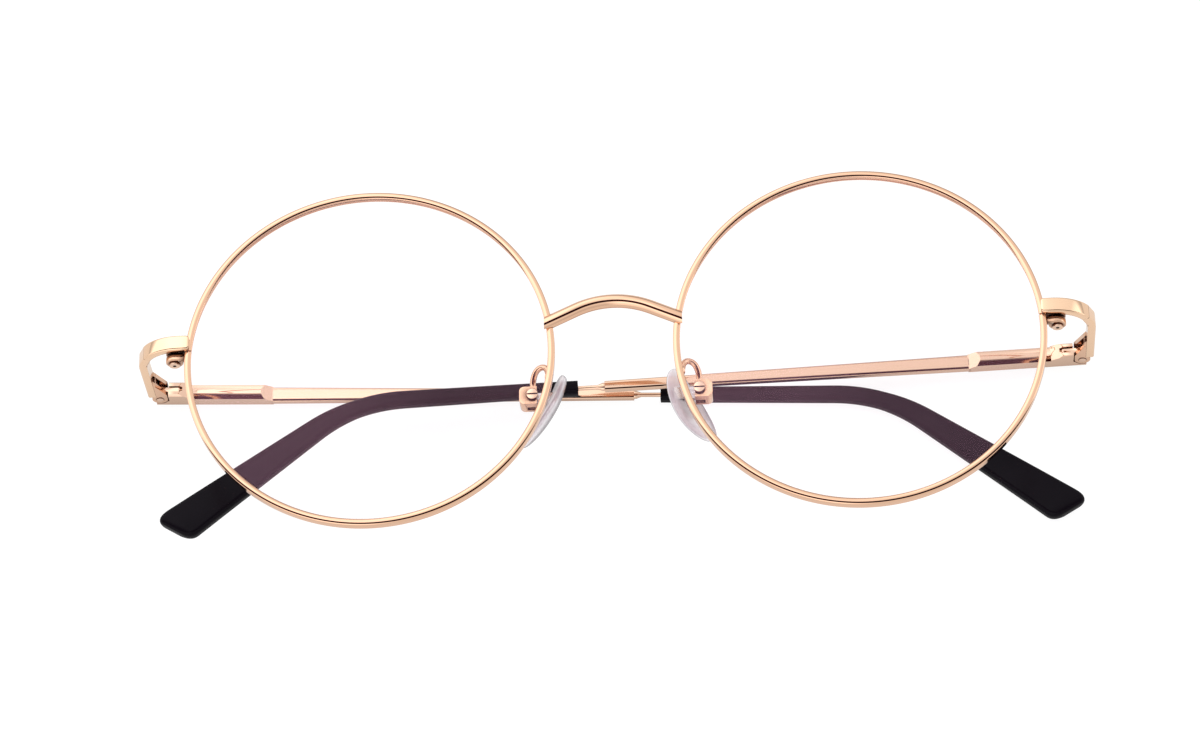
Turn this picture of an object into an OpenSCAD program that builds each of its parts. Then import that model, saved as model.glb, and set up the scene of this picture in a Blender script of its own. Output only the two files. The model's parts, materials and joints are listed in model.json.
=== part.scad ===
// Round metal eyeglasses, folded and lying with the lenses up.
// +X is the wearer's left, +Y points to the brow, +Z is the direction that the lenses face.
// Each piece of one side is modelled at +X in the front's own frame, whose Z = 0 is the rims' front face
// and whose Y = 0 is the line through both lens centres. The right side is its mirror image.

/* [Lenses and rims] */
// Diameter of each lens, to the tip of its bevel
lens_d = 49.9; // [46:0.1:52]
// Gap between the two lenses, at their nearest
lens_gap = 17.1; // [15:0.1:20]
// Thickness of each lens
lens_t = 1.6; // [1.4:0.1:2]
// Radius of the lens's front surface
lens_curve_r = 130; // [100:5:200]
// Width of the rim wire, seen from the front
rim_w = 0.95; // [0.9:0.05:1.3]
// Depth of the rim wire, front to back
rim_depth = 1.5; // [1.4:0.1:2]
// Depth of the groove that holds the lens
groove_depth = 0.5; // [0.4:0.05:0.6]
// Rounding of the rim wire's outer edges
rim_round = 0.35; // [0.2:0.05:0.45]
// Gap where the rim is split at its lock
rim_split = 0.24; // [0.15:0.01:0.3]

/* [Bridge] */
// Diameter of the bridge wire
bridge_d = 1.9; // [1.6:0.1:2.2]
// Height of the bridge's centre line over the lens centres
bridge_y = 6.8; // [6:0.1:8]
// Radius of the bridge's arch
bridge_arch_r = 12.2; // [11.8:0.1:12.8]
// Slope of the bridge's legs
bridge_slope = 25; // [22:1:28]

/* [Endpieces] */
// Height of the endpieces' centre line over the lens centres
end_y = 2.97; // [2:0.1:4]
// Height of the endpiece strip
end_h = 2.2; // [2:0.1:2.6]
// Thickness of the endpiece strip
end_t = 1.15; // [1:0.05:1.3]
// How far the endpiece's face stands in front of the rims
end_proud = 0.7; // [0.5:0.05:0.9]
// How far the endpiece laps over the rim
end_lap = 0.7; // [0.5:0.05:0.9]
// Outer radius of the endpiece's bend
end_bend_r = 6; // [5.5:0.1:6.5]
// How far the endpiece's outer face stands out from the rim
end_reach = 6.92; // [6.5:0.02:7.5]

/* [Rim locks] */
// Radius of the lock's two barrels
lock_r = 1.2; // [1.05:0.05:1.3]
// Height of each of the two barrels
lock_h = 0.95; // [0.8:0.05:1.2]
// How far the rim's split lies below the endpiece's centre line
lock_drop = 1.0; // [0.8:0.1:1.2]
// Diameter of the lock screw
lock_screw_d = 1.0; // [0.8:0.1:1.1]
// Diameter of the lock screw's head
lock_head_d = 1.5; // [1.3:0.1:1.7]

/* [Hinges] */
// Distance from the rims' front face back to the hinge axis
hinge_back = 14.4; // [13:0.1:16]
// Distance from the endpiece's outer face in to the hinge axis
hinge_inset = 1.6; // [1.55:0.05:1.8]
// Radius of the hinge knuckles
knuckle_r = 1.1; // [1:0.05:1.2]
// Height of the middle knuckle
knuckle_h = 0.8; // [0.7:0.05:0.9]
// Gap between the knuckles
knuckle_gap = 0.05; // [0.04:0.01:0.08]
// Diameter of the hinge screw
hinge_screw_d = 1.0; // [0.8:0.1:1.1]
// Diameter of the hinge screw's head
hinge_head_d = 1.7; // [1.5:0.1:1.9]
// Running clearance round screws and shafts
run_gap = 0.03; // [0.02:0.01:0.05]
// Angle of the left temple to the front when folded
fold_angle_left = -2.5; // [-3:0.1:-2.4]
// Angle of the right temple to the front when folded
fold_angle_right = 0; // [-0.2:0.1:0.2]

/* [Spring housings] */
// Distance from the hinge axis to the housing's far end
box_end = 15.7; // [15:0.1:18]
// How far the housing stands over the temple's inner face
box_rise = 0.9; // [0.85:0.05:1.1]
// Width of the bevel along the housing's edges
box_bevel = 0.75; // [0.6:0.05:0.8]
// Drop of the bevel along the housing's edges
box_bevel_drop = 0.28; // [0.2:0.01:0.36]
// Diameter of the spring's chamber
chamber_d = 1.24; // [1.2:0.02:1.3]
// Length of the spring's chamber
chamber_l = 8.15; // [7.8:0.05:8.6]
// How far the spring lets the temple pull out
flex_travel = 0.8; // [0.5:0.1:1]
// Diameter of the slider's shaft
shaft_d = 0.56; // [0.5:0.02:0.6]
// Diameter of the spring's wire
spring_wire_d = 0.16; // [0.12:0.01:0.18]
// Outer diameter of the spring
spring_d = 1.06; // [1:0.02:1.1]
// Number of turns of the spring
spring_turns = 11; // [8:1:12]

/* [Temples] */
// Thickness of the temple strip
temple_t = 1.1; // [1:0.05:1.3]
// Height of the temple strip at the hinge
temple_h = 2.2; // [2:0.1:2.4]
// Height of the temple strip at its thin end
temple_end_h = 1.4; // [1.2:0.1:1.6]
// Distance from the hinge axis to the temple strip's thin end
temple_strip_l = 66.3; // [62:0.1:67]
// Slope of the temple down towards the ear
temple_slope = 2.6; // [2.4:0.1:3.2]
// Diameter of the temple's core wire
core_d = 0.64; // [0.6:0.02:0.8]

/* [Ear sleeves] */
// Length of bare core wire between the temple strip and the sleeve
bare_l = 2.7; // [1:0.1:5]
// Length from the sleeve's open end to the ear bend
sleeve_straight_l = 31; // [26:0.5:35]
// Angle of the ear bend
bend_angle = 34.6; // [30:0.1:40]
// Radius of the ear bend
bend_r = 22; // [15:0.5:35]
// Length from the ear bend to the tip
drop_l = 31.2; // [28:0.1:34]
// Height of the sleeve at its open end
sleeve_h = 2; // [1.8:0.1:2.4]
// Height of the sleeve at the ear bend
sleeve_bend_h = 2.4; // [2.2:0.1:2.8]
// Height of the sleeve at its tip
sleeve_tip_h = 5.6; // [4.8:0.1:6]
// Thickness of the sleeve
sleeve_t = 2; // [1.8:0.1:2.3]

/* [Nose pads] */
// Distance from the centre line to the middle of each pad
pad_x = 9.8; // [9.4:0.1:10.2]
// Distance from the lens centre line down to the middle of each pad
pad_drop = 6.8; // [6.5:0.1:7.5]
// Distance from the rims' front face back to the middle of each pad
pad_back = 6.4; // [6.2:0.1:7]
// Length of each pad
pad_l = 12; // [11:0.1:13]
// Width of each pad
pad_w = 6.8; // [6:0.1:7.4]
// Thickness of each pad
pad_t = 1.9; // [1.7:0.1:2]
// Spread of the left pad, seen from the front
pad_spread_angle_left = 24; // [20:1:32]
// Spread of the right pad, seen from the front
pad_spread_angle_right = 30; // [20:1:32]
// Turn of the left pad to face the nose
pad_turn_angle_left = 40; // [25:1:42]
// Turn of the right pad to face the nose
pad_turn_angle_right = 17; // [12:1:30]
// Diameter of the pad arm's wire
arm_d = 0.8; // [0.7:0.05:0.9]
// Diameter of the pad screw
pad_screw_d = 0.72; // [0.6:0.02:0.8]

/* [Hidden] */
$fn = 96;
LEFT = 1;
RIGHT = -1;
GOLD = "#E8B08C";
PALE_GOLD = "#F3CDB0";
BLACK = "#18151A";
GLASS = [0.85, 0.9, 0.92, 0.35];
SILICONE = [0.85, 0.83, 0.88, 0.6];
STEEL = "#B9BCC0";
EPS = 0.01;
BIG = 40;

lens_r = lens_d / 2;
lens_x = lens_gap / 2 + lens_r;
lens_clearance = 0.03;
rim_in_r = lens_r + lens_clearance - groove_depth;
rim_out_r = rim_in_r + rim_w;
rim_mid_z = -rim_depth / 2;
groove_half = 0.55;
rim_round_steps = 4;

bridge_z = -0.15;
bridge_lap = 0.42;
lens_bulge = 0.25;
bridge_half = lens_x - rim_in_r + bridge_lap;
bridge_tangent_x = bridge_arch_r * sin(bridge_slope);
bridge_tangent_drop = bridge_arch_r * (1 - cos(bridge_slope));

end_inner_x = lens_x + rim_out_r - end_lap;
end_x = lens_x + rim_out_r + end_reach;
end_bend_x = end_x - end_bend_r;
end_bend_z = end_proud - end_bend_r;
end_facet_angle_from = 34;
end_facet_angle_to = 14;
butt_gap = 0.1;
strip_end_forward = 0.7;

lock_y = end_y - lock_drop;
lock_gap = 0.1;
lock_reach = 0.3;
lock_front_z = -(end_t - end_proud) - lock_gap;
lock_mid_z = lock_front_z - lock_r;
lock_screw_x = lens_x + rim_out_r + lock_r + lock_reach;
lock_head_h = 0.35;
lock_socket_d = 0.5;

hinge_x = end_x - hinge_inset;
ear_in = knuckle_h / 2 + knuckle_gap;
ear_out = end_h / 2;
ear_reach = 4.4;
ear_corner = 1.2;
ear_base_t = 0.3;
ear_base_gap = 0.5;
hinge_head_h = 0.4;
slot_w = 0.22;
slot_depth = 0.18;

relief_r = knuckle_r + 0.07;
strip_in = hinge_inset - temple_t;
housing_front = knuckle_r + 0.2;
housing_nose_r = 1.2;
housing_nose_l = 2.8;
nose_bevel = 0.25;
housing_nose_end = 4.4;
box_top = strip_in - box_rise;
box_bevel_l = 1.5;
shaft_z = 0.7;
slider_end = 3.6;
tongue_end = 2.85;
tongue_front = -0.95;
tongue_room = 3.2;
wall_start = slider_end + 0.1;
wall_l = 1;
chamber_start = wall_start + wall_l;
neck_half = 0.32;
neck_from = 0.2;
neck_front = -0.45;
neck_back = 1.0;
slider_gap = 0.08;
stop_l = 0.6;
stop_end = chamber_start + chamber_l - 0.4;
shaft_end = stop_end;
spring_len = stop_end - stop_l - chamber_start - 2 * run_gap;
dimple_d = 0.45;
dimple_at = 5.3;
dimple_depth = 0.08;

neck_l = 1;
strip_mid = (strip_in + hinge_inset) / 2;
bend_tangent = bend_r * tan(bend_angle / 2);
bend_len = bend_r * bend_angle * PI / 180;
core_start = temple_strip_l + neck_l;
sleeve_start = core_start + bare_l;
bend_at = sleeve_start + sleeve_straight_l;
core_gap = 0.03;
core_tip_gap = 4;
sleeve_cap_l = 2.2;
tip_slant = 0.4;
tip_round = 0.5;
slant_l = 9;
sleeve_corner_r = 0.7;
sleeve_corner_steps = 4;
ring_step = 2.6;
core_sides = 12;

floor_z = -(hinge_back + strip_mid + sleeve_t / 2);

bracket_x = pad_x + 1.6;
bracket_y = -pad_drop + 1.2;
bracket_z = -pad_back + 1.8;
bracket_half_h = 1.3;
bracket_wall = 0.45;
bracket_front_wall = 1.2;
bracket_slot = 0.9;
bracket_slot_out = 0.75;
bracket_corner_r = 0.7;
bracket_in = 0.6;
bracket_out = 1.8;
tab_t = 0.7;
tab_half_h = 0.9;
tab_end = 0.45;
plate_l = 4.4;
plate_w = 4.6;
plate_t = 0.4;
plate_mid_x = 0.2;
pad_head_d = 1.5;
pad_head_h = 0.4;
pad_screw_proud = 0.1;

// Points on an arc of a circle, at equal steps.
function arc_points(centre, r, from, to, steps) =
    [for (i = [0 : steps]) centre + r * [cos(from + (to - from) * i / steps), sin(from + (to - from) * i / steps)]];

// The sides of a solid through equal rings of points, with flat ends.
module skin(rings) {
    n = len(rings[0]);
    m = len(rings);
    points = [for (ring = rings) each ring];
    sides = [for (i = [0 : m - 2], j = [0 : n - 1]) let (k = (j + 1) % n)
        each [[i * n + j, i * n + k, (i + 1) * n + k], [i * n + j, (i + 1) * n + k, (i + 1) * n + j]]];
    start = [for (j = [1 : n - 2]) [0, j + 1, j]];
    finish = [for (j = [1 : n - 2]) [(m - 1) * n, (m - 1) * n + j, (m - 1) * n + j + 1]];
    polyhedron(points = points, faces = [for (f = concat(sides, start, finish)) [f[2], f[1], f[0]]], convexity = 6);
}

// Moves the front's own frame to the height at which the folded eyeglasses rest.
module placed(side = LEFT) {
    translate([0, 0, -floor_z])
        scale([side, 1, 1])
            children();
}

// The frame of one hinge: X in along the folded temple, Y up, Z away from the lenses.
module at_hinge(fold) {
    translate([hinge_x, end_y, -hinge_back])
        rotate([0, 180 - fold, 0])
            children();
}

// The temple's own frame, tilted down by its slope.
module at_temple(fold) {
    at_hinge(fold) rotate([0, 0, -temple_slope]) children();
}

// A plate of height h, centred on Y = 0, from an outline drawn in X and Z.
module plate_xz(h) {
    rotate([90, 0, 0]) linear_extrude(h, center = true) children();
}

module pin_y(d, from, to) {
    translate([0, from, 0]) rotate([-90, 0, 0]) cylinder(d = d, h = to - from);
}

// Section of the rim wire, with the lens groove on its inner side.
module rim_section() {
    corner = rim_out_r - rim_round;
    polygon(concat(
        [[rim_in_r, rim_mid_z - groove_half], [rim_in_r, -rim_depth]],
        arc_points([corner, rim_round - rim_depth], rim_round, -90, 0, rim_round_steps),
        arc_points([corner, -rim_round], rim_round, 0, 90, rim_round_steps),
        [[rim_in_r, 0], [rim_in_r, rim_mid_z + groove_half], [rim_in_r + groove_depth, rim_mid_z]]));
}

module rim() {
    color(GOLD)
        difference() {
            translate([lens_x, 0, 0]) rotate_extrude() rim_section();
            translate([lens_x, lock_y - rim_split / 2, -BIG / 2]) cube([BIG, rim_split, BIG]);
        }
}

// A thin shell cut from two spheres, with a V bevel round its edge.
module lens() {
    edge_r = rim_in_r - lens_clearance;
    back_r = lens_curve_r - lens_t;
    top_z = rim_mid_z + lens_t / 2;
    sag = lens_curve_r - sqrt(pow(lens_curve_r, 2) - pow(edge_r, 2));
    centre_z = top_z + sag - lens_curve_r;
    edge_angle = acos(edge_r / lens_curve_r);
    back_angle = acos(edge_r / back_r);
    steps = 10;
    color(GLASS)
        translate([lens_x, 0, 0])
            rotate_extrude()
                polygon(concat(
                    [[0, centre_z + back_r]],
                    [for (i = [steps - 1 : -1 : 0]) let (a = back_angle + (90 - back_angle) * i / steps)
                        [back_r * cos(a), centre_z + back_r * sin(a)]],
                    [[edge_r, rim_mid_z - groove_half], [lens_r, rim_mid_z], [edge_r, rim_mid_z + groove_half]],
                    [for (i = [0 : steps - 1]) let (a = edge_angle + (90 - edge_angle) * i / steps)
                        [lens_curve_r * cos(a), centre_z + lens_curve_r * sin(a)]],
                    [[0, centre_z + lens_curve_r]]));
}

// The space that both rims and lenses fill, for the pieces that lap over their front.
module rim_space() {
    for (side = [LEFT, RIGHT])
        translate([side * lens_x, 0, -rim_depth]) {
            cylinder(r = rim_out_r, h = rim_depth);
            cylinder(r = rim_in_r, h = rim_depth + lens_bulge);
        }
}

module bridge_leg() {
    length = (bridge_half + 2 - bridge_tangent_x) / cos(bridge_slope);
    translate([bridge_tangent_x, bridge_y - bridge_tangent_drop, bridge_z])
        rotate([0, 0, -bridge_slope])
            rotate([0, 90, 0])
                cylinder(d = bridge_d, h = length);
}

module bridge() {
    color(GOLD)
        difference() {
            intersection() {
                union() {
                    translate([0, bridge_y - bridge_arch_r, bridge_z])
                        rotate([0, 0, 90 - bridge_slope])
                            rotate_extrude(angle = 2 * bridge_slope)
                                translate([bridge_arch_r, 0]) circle(d = bridge_d, $fn = 48);
                    bridge_leg();
                    mirror([1, 0, 0]) bridge_leg();
                }
                translate([-bridge_half, -BIG / 2, -BIG / 2]) cube([2 * bridge_half, BIG, BIG]);
            }
            rim_space();
        }
}

// The endpiece bends back from the rim's front and runs to the hinge.
module endpiece_strip() {
    plate_xz(end_h)
        translate([end_inner_x, end_proud - end_t])
            square([end_bend_x - end_inner_x, end_t]);
    translate([end_bend_x, 0, end_bend_z])
        rotate([90, 0, 0])
            rotate_extrude(angle = 90)
                translate([end_bend_r - end_t, -end_h / 2])
                    square([end_t, end_h]);
    plate_xz(end_h)
        translate([end_x - end_t, -hinge_back + strip_end_forward])
            square([end_t, end_bend_z + hinge_back - strip_end_forward]);
}

module endpiece() {
    facet_mid = (end_facet_angle_from + end_facet_angle_to) / 2;
    facet_r = end_bend_r * cos((end_facet_angle_from - end_facet_angle_to) / 2);
    color(PALE_GOLD)
        difference() {
            translate([0, end_y, 0])
                difference() {
                    endpiece_strip();
                    translate([end_bend_x, 0, end_bend_z])
                        rotate([0, -facet_mid, 0])
                            translate([facet_r, -end_h, -BIG / 8])
                                cube([BIG / 4, 2 * end_h, BIG / 4]);
                    translate([hinge_x, 0, -hinge_back]) pin_y(2 * relief_r, -ear_in, ear_in);
                }
            rim_space();
        }
}

// One half of the rim lock: a barrel, which a web joins to the rim, just behind the endpiece.
module rim_lock(up) {
    from = up > 0 ? rim_split / 2 : -rim_split / 2 - lock_h;
    color(GOLD)
        difference() {
            union() {
                translate([lock_screw_x, lock_y, lock_mid_z]) pin_y(2 * lock_r, from, from + lock_h);
                translate([lens_x + rim_in_r, lock_y + from, -rim_depth])
                    cube([lock_screw_x - lens_x - rim_in_r, lock_h, rim_depth + lock_front_z]);
            }
            translate([lens_x, 0, -BIG / 2]) cylinder(r = rim_out_r, h = BIG);
            translate([lock_screw_x, lock_y, lock_mid_z])
                pin_y(lock_screw_d + 2 * run_gap, -BIG / 4, BIG / 4);
        }
}

module rim_screw() {
    head_top = -rim_split / 2 - lock_h;
    color(STEEL)
        translate([lock_screw_x, lock_y, lock_mid_z])
            difference() {
                union() {
                    pin_y(lock_screw_d, head_top - EPS, rim_split / 2 + lock_h);
                    pin_y(lock_head_d, head_top - lock_head_h, head_top);
                }
                pin_y(lock_socket_d, head_top - lock_head_h - EPS, head_top - lock_head_h / 4);
            }
}

// Outline of the two plates that carry the front's knuckles, in X and Z.
module ear_outline() {
    strip_face = end_x - end_t;
    inner_edge = hinge_x - knuckle_r;
    translate([hinge_x, -hinge_back]) circle(r = knuckle_r);
    polygon([
        [strip_face, -hinge_back + ear_reach],
        [inner_edge, -hinge_back + ear_corner],
        [inner_edge, -hinge_back],
        [hinge_x, -hinge_back],
        [strip_face, -hinge_back + strip_end_forward]]);
}

// The two ears stand on one base, which is brazed to the endpiece's inner face.
module hinge_ears() {
    plate_h = ear_out - ear_in;
    base_from = -hinge_back + knuckle_r + ear_base_gap;
    color(GOLD)
        difference() {
            union() {
                for (middle = [-(ear_in + ear_out) / 2, (ear_in + ear_out) / 2])
                    translate([0, end_y + middle, 0]) plate_xz(plate_h) ear_outline();
                translate([end_x - end_t - ear_base_t, end_y - ear_out, base_from])
                    cube([ear_base_t, 2 * ear_out, -hinge_back + ear_reach - ear_base_gap - base_from]);
            }
            translate([end_x - end_t, end_y - end_h, -hinge_back + strip_end_forward])
                cube([2 * end_t, 2 * end_h, BIG]);
            translate([hinge_x, end_y, -hinge_back]) pin_y(hinge_screw_d + 2 * run_gap, -end_h, end_h);
        }
}

module hinge_screw() {
    color(STEEL)
        translate([hinge_x, end_y, -hinge_back])
            difference() {
                union() {
                    pin_y(hinge_screw_d, -ear_out - 0.06, ear_out + EPS);
                    pin_y(hinge_head_d, ear_out, ear_out + hinge_head_h);
                }
                translate([-hinge_head_d, ear_out + hinge_head_h - slot_depth, -slot_w / 2])
                    cube([2 * hinge_head_d, slot_depth + EPS, slot_w]);
            }
}

module shaft_x(d, from, to) {
    translate([from, 0, shaft_z]) rotate([0, 90, 0]) cylinder(d = d, h = to - from);
}

// The middle knuckle, with the neck and the shaft that slide in the temple.
module hinge_slider(fold) {
    color(PALE_GOLD)
        difference() {
            union() {
                at_hinge(fold) pin_y(2 * knuckle_r, -knuckle_h / 2, knuckle_h / 2);
                at_temple(fold) {
                    translate([neck_from, -neck_half, tongue_front])
                        cube([tongue_end - neck_half - neck_from, 2 * neck_half, neck_back - tongue_front]);
                    translate([tongue_end - neck_half, 0, tongue_front])
                        cylinder(r = neck_half, h = neck_back - tongue_front);
                    translate([neck_from, -neck_half, neck_front])
                        cube([slider_end - neck_from, 2 * neck_half, neck_back - neck_front]);
                    shaft_x(shaft_d, slider_end - EPS, shaft_end);
                }
            }
            at_hinge(fold) pin_y(hinge_screw_d + 2 * run_gap, -end_h, end_h);
        }
}

module spring_stop(fold) {
    color(STEEL)
        at_temple(fold)
            difference() {
                shaft_x(spring_d, stop_end - stop_l, stop_end);
                shaft_x(shaft_d + 2 * core_gap, stop_end - stop_l - EPS, stop_end + EPS);
            }
}

// One unbroken coil round the shaft, between the housing's wall and the stop.
module spring(fold) {
    wire_r = spring_wire_d / 2;
    mean_r = spring_d / 2 - wire_r;
    steps = 8;
    sides = 6;
    length = spring_len - 2 * wire_r;
    pitch = length / spring_turns;
    lead = atan(pitch / (2 * PI * mean_r));
    echo(spring_gap = pitch * cos(lead) - spring_wire_d);
    rings = [for (i = [0 : steps * spring_turns]) let (a = 360 * i / steps)
        [for (j = [0 : sides - 1]) let (b = 360 * j / sides, out = mean_r + wire_r * cos(b), along = wire_r * sin(b))
            [chamber_start + run_gap + wire_r + pitch * i / steps + along * cos(lead),
             out * cos(a) - along * sin(lead) * -sin(a),
             shaft_z + out * sin(a) - along * sin(lead) * cos(a)]]];
    color(STEEL) at_temple(fold) skin(rings);
}

// All that moves in the temple: the slider's slot, the shaft's bore, the chamber and the knuckles' relief.
module slider_space() {
    slot_half = neck_half + slider_gap;
    translate([-temple_h, -slot_half, -BIG / 8])
        cube([tongue_room + temple_h, 2 * slot_half, BIG / 8 + neck_back + slider_gap]);
    translate([0, -slot_half, neck_front - slider_gap])
        cube([wall_start, 2 * slot_half, neck_back - neck_front + 2 * slider_gap]);
    shaft_x(shaft_d + 2 * run_gap, wall_start - EPS, chamber_start + EPS);
    shaft_x(chamber_d, chamber_start, chamber_start + chamber_l);
    pin_y(2 * relief_r, -end_h, end_h);
    translate([-2 * end_h, -end_h, -BIG / 8]) cube([2 * end_h, 2 * end_h, BIG / 8 + relief_r]);
}

// A bar along the temple, with its outline drawn along and across it, and bevels on its top edges.
module bevelled_bar(top, bevel, drop) {
    half = temple_h / 2;
    intersection() {
        plate_xz(temple_h) children();
        rotate([90, 0, 90])
            linear_extrude(BIG)
                polygon([
                    [-half, strip_in], [-half, top + drop], [bevel - half, top],
                    [half - bevel, top], [half, top + drop], [half, strip_in]]);
    }
}

// The housing brazed to the temple's inner face. Its nose stands up to the knuckles as a fork.
module spring_housing(fold) {
    color(PALE_GOLD)
        at_temple(fold)
            difference() {
                union() {
                    bevelled_bar(box_top, box_bevel, box_bevel_drop)
                        polygon([
                            [housing_front, strip_in], [housing_front, box_top],
                            [box_end - box_bevel_l, box_top], [box_end, strip_in]]);
                    bevelled_bar(-housing_nose_r, nose_bevel, nose_bevel)
                        polygon([
                            [housing_front, strip_in], [housing_front, -housing_nose_r],
                            [housing_nose_l, -housing_nose_r], [housing_nose_end, box_top],
                            [housing_nose_end, strip_in]]);
                }
                slider_space();
                translate([dimple_at, 0, box_top - EPS]) cylinder(d = dimple_d, h = dimple_depth + EPS);
            }
}

// Distance along the temple and drop below its line, for a place s along its centre line.
function temple_point(s) =
    let (arc_start = bend_at - bend_tangent)
    s <= arc_start ? [s, 0]
    : s <= arc_start + bend_len ?
        let (a = (s - arc_start) / bend_r * 180 / PI)
        [arc_start + bend_r * sin(a), -bend_r * (1 - cos(a))]
    :
        let (rest = s - arc_start - bend_len + bend_tangent)
        [bend_at + rest * cos(bend_angle), -rest * sin(bend_angle)];

function temple_turn(s) =
    min(max((s - bend_at + bend_tangent) / bend_r * 180 / PI, 0), bend_angle);

tip_s = bend_at - 2 * bend_tangent + bend_len + drop_l;

// A ring of points across the temple's centre line, from offsets up and out. Slant leans its top to the tip.
function temple_ring(s, offsets, slant = 0) =
    let (p = temple_point(s), a = temple_turn(s))
    [for (q = offsets) [
        p[0] + q[0] * (sin(a) + slant * cos(a)), p[1] + q[0] * (cos(a) - slant * sin(a)), strip_mid + q[1]]];

function disc(d, sides) = [for (j = [0 : sides - 1]) d / 2 * [cos(360 * j / sides), sin(360 * j / sides)]];

// Places along the centre line, closer together in the bend.
function core_places(from, to) =
    let (a = bend_at - bend_tangent, b = a + bend_len)
    concat([from, a], [for (i = [1 : 5]) a + (b - a) * i / 5], [to]);

module temple_core(d, from, to) {
    skin([for (s = core_places(from, to)) temple_ring(s, disc(d, core_sides))]);
}

module temple(fold) {
    half = temple_h / 2;
    end_half = temple_end_h / 2;
    color(GOLD)
        at_temple(fold) {
            difference() {
                translate([0, 0, strip_in])
                    linear_extrude(temple_t)
                        polygon([
                            [butt_gap - strip_end_forward, -half], [box_end, -half], [temple_strip_l, -end_half],
                            [core_start, -core_d / 2], [core_start, core_d / 2],
                            [temple_strip_l, end_half], [box_end, half], [butt_gap - strip_end_forward, half]]);
                slider_space();
            }
            temple_core(core_d, core_start - EPS, tip_s - core_tip_gap);
        }
}

function sleeve_height(s) =
    s < bend_at ? sleeve_h + (sleeve_bend_h - sleeve_h) * (s - sleeve_start) / (bend_at - sleeve_start)
    : sleeve_bend_h + (sleeve_tip_h - sleeve_bend_h) * (s - bend_at) / (tip_s - bend_at);

// A rounded rectangle, w up and t out, that closes in over the tip.
function sleeve_section(s) =
    let (
        u = max(0, (s - tip_s + sleeve_cap_l) / sleeve_cap_l),
        w = sleeve_height(s) / 2 * (1 - tip_round * (1 - sqrt(1 - pow(u, 3)))),
        t = sleeve_t / 2 * (1 - tip_round * (1 - sqrt(1 - pow(u, 3)))),
        r = min(sleeve_corner_r, w - EPS, t - EPS))
    [for (c = [[1, 1, 0], [-1, 1, 90], [-1, -1, 180], [1, -1, 270]])
        each arc_points([c[0] * (w - r), c[1] * (t - r)], r, c[2], c[2] + 90, sleeve_corner_steps)];

// The sleeve's end is cut at a slant, which starts a little before it.
function sleeve_slant(s) = tip_slant * pow(max(0, (s - tip_s + slant_l) / slant_l), 2);

function sleeve_places() =
    let (a = bend_at - bend_tangent, b = a + bend_len, c = tip_s - sleeve_cap_l)
    concat(
        [sleeve_start, (sleeve_start + a) / 2, a],
        [for (i = [1 : 6]) a + (b - a) * i / 6],
        [for (s = [b + ring_step * 2 : ring_step * 2 : c - ring_step / 2]) s],
        [for (i = [0 : 6]) c + sleeve_cap_l * sin(90 * i / 6)]);

module ear_sleeve(fold) {
    color(BLACK)
        at_temple(fold)
            difference() {
                skin([for (s = sleeve_places()) temple_ring(s, sleeve_section(s), sleeve_slant(s))]);
                temple_core(core_d + 2 * core_gap, sleeve_start - 1, tip_s - core_tip_gap + core_gap);
            }
}

// The pad arm's route: back from the rim, over in a loop and down to the bracket.
module pad_arm() {
    root_x = 9.15;
    top = bracket_y + bracket_half_h;
    arm_r = arm_d / 2;
    knots = [
        [root_x, -3.6, -rim_depth], [root_x, -3.6, -rim_depth - 0.5], [root_x, -2.9, -2.6], [9.3, -2, -2.9],
        [9.7, -1.4, -3.2], [10.3, -1.3, -3.5], [10.9, -1.7, -3.8],
        [bracket_x - 0.1, -2.6, -4.2], [bracket_x, top + 0.7, bracket_z + 0.1], [bracket_x, top, bracket_z]];
    last = len(knots) - 1;
    sides = 10;
    function tangent(i) =
        let (d = knots[min(i + 1, last)] - knots[max(i - 1, 0)])
        i == 0 ? [0, 0, -1] : i == last ? [0, -1, 0] : d / norm(d);
    rings = [for (i = [0 : last]) let (
            t = tangent(i),
            u0 = cross(t, [1, 0.2, 0]),
            u = u0 / norm(u0),
            v = cross(t, u))
        [for (j = [0 : sides - 1]) knots[i] + arm_r * (u * cos(360 * j / sides) + v * sin(360 * j / sides))]];
    color(PALE_GOLD) skin(rings);
}

// A small box with a slot for the pad's tab, a thick front wall and two rounded outer corners.
module pad_bracket() {
    back = -bracket_slot / 2 - bracket_wall;
    depth = bracket_slot + bracket_wall + bracket_front_wall;
    flat_h = bracket_half_h - bracket_corner_r;
    color(PALE_GOLD)
        translate([bracket_x, bracket_y, bracket_z])
            difference() {
                union() {
                    translate([-bracket_in, -bracket_half_h, back])
                        cube([bracket_in + bracket_out - bracket_corner_r, 2 * bracket_half_h, depth]);
                    translate([-bracket_in, -flat_h, back])
                        cube([bracket_in + bracket_out, 2 * flat_h, depth]);
                    for (side = [-flat_h, flat_h])
                        translate([bracket_out - bracket_corner_r, side, back])
                            cylinder(r = bracket_corner_r, h = depth);
                }
                translate([-bracket_in - EPS, -2 * bracket_half_h, -bracket_slot / 2])
                    cube([bracket_in + bracket_slot_out + EPS, 4 * bracket_half_h, bracket_slot]);
                translate([0, 0, back - EPS]) cylinder(d = pad_screw_d + 2 * run_gap, h = depth + 2 * EPS);
            }
}

module pad_screw() {
    face = bracket_slot / 2 + bracket_front_wall;
    end = -bracket_slot / 2 - bracket_wall - pad_screw_proud;
    color(STEEL)
        translate([bracket_x, bracket_y, bracket_z])
            difference() {
                union() {
                    translate([0, 0, end]) cylinder(d = pad_screw_d, h = face - end + EPS);
                    translate([0, 0, face]) cylinder(d = pad_head_d, h = pad_head_h);
                }
                translate([-pad_head_d, -slot_w / 2, face + pad_head_h - slot_depth])
                    cube([2 * pad_head_d, slot_w, slot_depth + EPS]);
            }
}

// The pad's own frame: X out of its back, Y along it, Z across it.
module at_pad(turn, spread) {
    translate([pad_x, -pad_drop, -pad_back])
        rotate([0, 0, spread])
            rotate([0, -turn, 0])
                children();
}

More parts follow.
